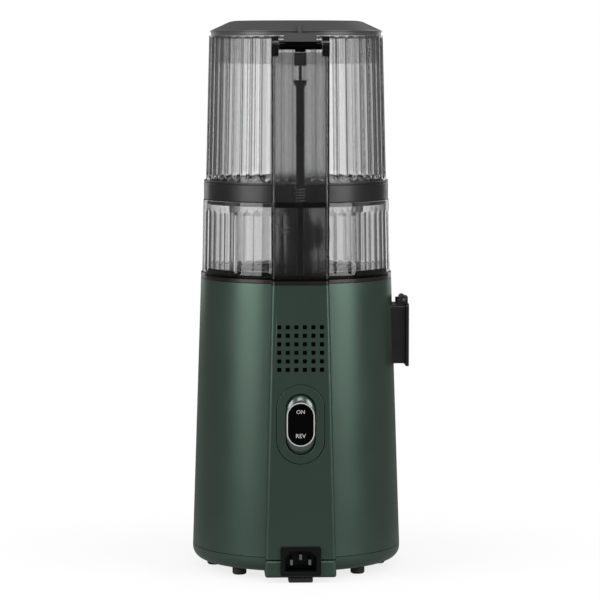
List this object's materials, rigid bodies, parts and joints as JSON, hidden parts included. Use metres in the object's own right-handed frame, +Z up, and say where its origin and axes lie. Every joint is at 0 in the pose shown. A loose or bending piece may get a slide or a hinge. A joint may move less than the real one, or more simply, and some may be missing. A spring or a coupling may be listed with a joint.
{
  "type": "cold press juicer",
  "caption": "Slim upright slow juicer: clear fluted hopper with a hinged lid over a smoked drum, on a tapered green motor base with a back panel, rocker switch and mains inlet.",
  "frame": {"origin": "on the machine's axis, in the plane of the table that its feet stand on", "axes": "+Z up along the axis of the drum and auger; -Y towards the juice spout at the front; +Y towards the back panel; -X towards the pulp spout"},
  "size_m": [0.1696, 0.1997, 0.429],
  "materials": {
    "body_green": "satin metallic paint",
    "smoked_clear": "clear smoked copolyester, polished",
    "black_satin": "satin moulded",
    "charcoal": "satin moulded, charcoal",
    "trim_bronze": "brownish gunmetal, satin",
    "black_gloss": "polished",
    "silver": "bright ring",
    "steel": "turned",
    "silicone": "silicone, grey",
    "foot_rubber": "moulded",
    "strainer_black": "fine grain",
    "screen_steel": "perforated",
    "auger_black": "satin moulded",
    "nylon": "acetal, natural",
    "aluminium": "die cast",
    "lamination": "stacked laminations",
    "copper": "enamelled copper wire",
    "board_green": "solder resist",
    "inlet_brass": "nickelled brass"
  },
  "bodies": {
    "base": {"trim_ring": "trim_bronze", "body_shell": "body_green", "bowl_seat": "black_satin", "shaft_seal": "silicone", "base_cover": "body_green", "cover_screws": "steel", "rubber_feet": "foot_rubber", "pulp_spout": "black_satin", "juice_spout": "black_satin", "flap_pins": "steel", "switch_plate": "body_green", "rocker_pin": "steel", "switch_module": "black_satin", "inlet_housing": "black_satin", "inlet_pins": "inlet_brass", "motor_stator": "lamination", "stator_windings": "copper", "motor_lower_bell": "aluminium", "motor_upper_bell": "aluminium", "motor_bearings": "steel", "ring_gear": "nylon", "gearbox_cover": "aluminium", "output_bearing": "steel", "gearbox_dampers": "foot_rubber", "control_board": "board_green", "interlock_switch": "black_satin"},
    "drum": {"drum_body": "smoked_clear", "drum_spine": "smoked_clear", "drum_seal": "silicone", "strainer_frame": "strainer_black", "strainer_screen": "screen_steel"},
    "drum_plunger": {"drum_plunger": "black_satin"},
    "hopper": {"hopper_body": "smoked_clear", "hopper_spine": "smoked_clear", "hopper_collar": "black_satin", "lid_hinge_pin": "steel", "interlock_spring": "steel"},
    "interlock_rod": {"interlock_rod": "black_satin", "interlock_pusher": "black_satin"},
    "lid": {"lid_cover": "charcoal", "lid_liner": "smoked_clear", "lid_hinge_arm": "black_satin"},
    "auger": {"auger": "auger_black", "auger_socket": "steel"},
    "rotor": {"motor_rotor": "lamination", "motor_shaft": "steel", "motor_fan": "black_satin"},
    "first_carrier": {"first_carrier": "steel"},
    "drive": {"drive_shaft": "steel"},
    "rocker": {"rocker_button": "body_green", "rocker_face": "black_gloss", "rocker_ring": "silver"},
    "pulp_flap": {"pulp_flap": "black_satin"},
    "juice_cap": {"juice_cap": "black_satin"},
    "first_planet_1": {"first_planet_1": "nylon"},
    "first_planet_2": {"first_planet_2": "nylon"},
    "first_planet_3": {"first_planet_3": "nylon"},
    "second_planet_1": {"second_planet_1": "nylon"},
    "second_planet_2": {"second_planet_2": "nylon"},
    "second_planet_3": {"second_planet_3": "nylon"}
  },
  "joints": [
    {"name": "drum_lift", "type": "slide", "parent": "base", "child": "drum", "axis": [0, 0, 1], "range_m": [0, 0.11]},
    {"name": "hopper_lift", "type": "slide", "parent": "drum", "child": "hopper", "axis": [0, 0, 1], "range_m": [0, 0.12]},
    {"name": "lid_hinge", "type": "hinge", "parent": "hopper", "child": "lid", "pos_m": [0, 0.0785, 0.4101], "axis": [-1, 0, 0], "range_deg": [0, 100]},
    {"name": "rod_slide", "type": "slide", "parent": "hopper", "child": "interlock_rod", "axis": [0, 0, 1], "range_m": [0, 0.0016], "deforming": ["interlock_spring"]},
    {"name": "plunger_slide", "type": "slide", "parent": "drum", "child": "drum_plunger", "axis": [0, 0, 1], "range_m": [0, 0.0016]},
    {"name": "rotor_spin", "type": "hinge", "parent": "base", "child": "rotor", "pos_m": [0, 0, 0.068], "axis": [0, 0, 1], "continuous": true},
    {"name": "carrier_spin", "type": "hinge", "parent": "base", "child": "first_carrier", "pos_m": [0, 0, 0.109], "axis": [0, 0, 1], "continuous": true},
    {"name": "drive_spin", "type": "hinge", "parent": "base", "child": "drive", "pos_m": [0, 0, 0.13], "axis": [0, 0, 1], "continuous": true},
    {"name": "auger_spin", "type": "hinge", "parent": "drum", "child": "auger", "pos_m": [0, 0, 0.2], "axis": [0, 0, 1], "continuous": true},
    {"name": "rocker_tilt", "type": "hinge", "parent": "base", "child": "rocker", "pos_m": [0, 0.08289, 0.12193], "axis": [1, 0, 0], "range_deg": [-6, 6], "stiffness_Nm_per_rad": 0.05},
    {"name": "pulp_flap_hinge", "type": "hinge", "parent": "base", "child": "pulp_flap", "pos_m": [-0.08426, 0, 0.2112], "axis": [0, 1, 0], "range_deg": [0, 90]},
    {"name": "juice_cap_hinge", "type": "hinge", "parent": "base", "child": "juice_cap", "pos_m": [0, -0.10304, 0.1924], "axis": [-1, 0, 0], "range_deg": [0, 90]},
    {"name": "first_planet_1_spin", "type": "hinge", "parent": "first_carrier", "child": "first_planet_1", "pos_m": [0.0198, 0, 0.1028], "axis": [0, 0, 1], "continuous": true},
    {"name": "first_planet_2_spin", "type": "hinge", "parent": "first_carrier", "child": "first_planet_2", "pos_m": [-0.0099, 0.01715, 0.1028], "axis": [0, 0, 1], "continuous": true},
    {"name": "first_planet_3_spin", "type": "hinge", "parent": "first_carrier", "child": "first_planet_3", "pos_m": [-0.0099, -0.01715, 0.1028], "axis": [0, 0, 1], "continuous": true},
    {"name": "second_planet_1_spin", "type": "hinge", "parent": "drive", "child": "second_planet_1", "pos_m": [0.0198, 0, 0.1154], "axis": [0, 0, 1], "continuous": true},
    {"name": "second_planet_2_spin", "type": "hinge", "parent": "drive", "child": "second_planet_2", "pos_m": [-0.0099, 0.01715, 0.1154], "axis": [0, 0, 1], "continuous": true},
    {"name": "second_planet_3_spin", "type": "hinge", "parent": "drive", "child": "second_planet_3", "pos_m": [-0.0099, -0.01715, 0.1154], "axis": [0, 0, 1], "continuous": true}
  ],
  "couplings": [
    {"joint": "rod_slide", "follows": "lid_hinge", "m_per_rad": 0.00085944},
    {"joint": "plunger_slide", "follows": "lid_hinge", "m_per_rad": 0.00085944},
    {"joint": "carrier_spin", "follows": "rotor_spin", "ratio": 0.25},
    {"joint": "drive_spin", "follows": "rotor_spin", "ratio": 0.0625},
    {"joint": "auger_spin", "follows": "rotor_spin", "ratio": 0.0625},
    {"joint": "first_planet_1_spin", "follows": "rotor_spin", "ratio": -0.75},
    {"joint": "first_planet_2_spin", "follows": "rotor_spin", "ratio": -0.75},
    {"joint": "first_planet_3_spin", "follows": "rotor_spin", "ratio": -0.75},
    {"joint": "second_planet_1_spin", "follows": "rotor_spin", "ratio": -0.1875},
    {"joint": "second_planet_2_spin", "follows": "rotor_spin", "ratio": -0.1875},
    {"joint": "second_planet_3_spin", "follows": "rotor_spin", "ratio": -0.1875}
  ]
}
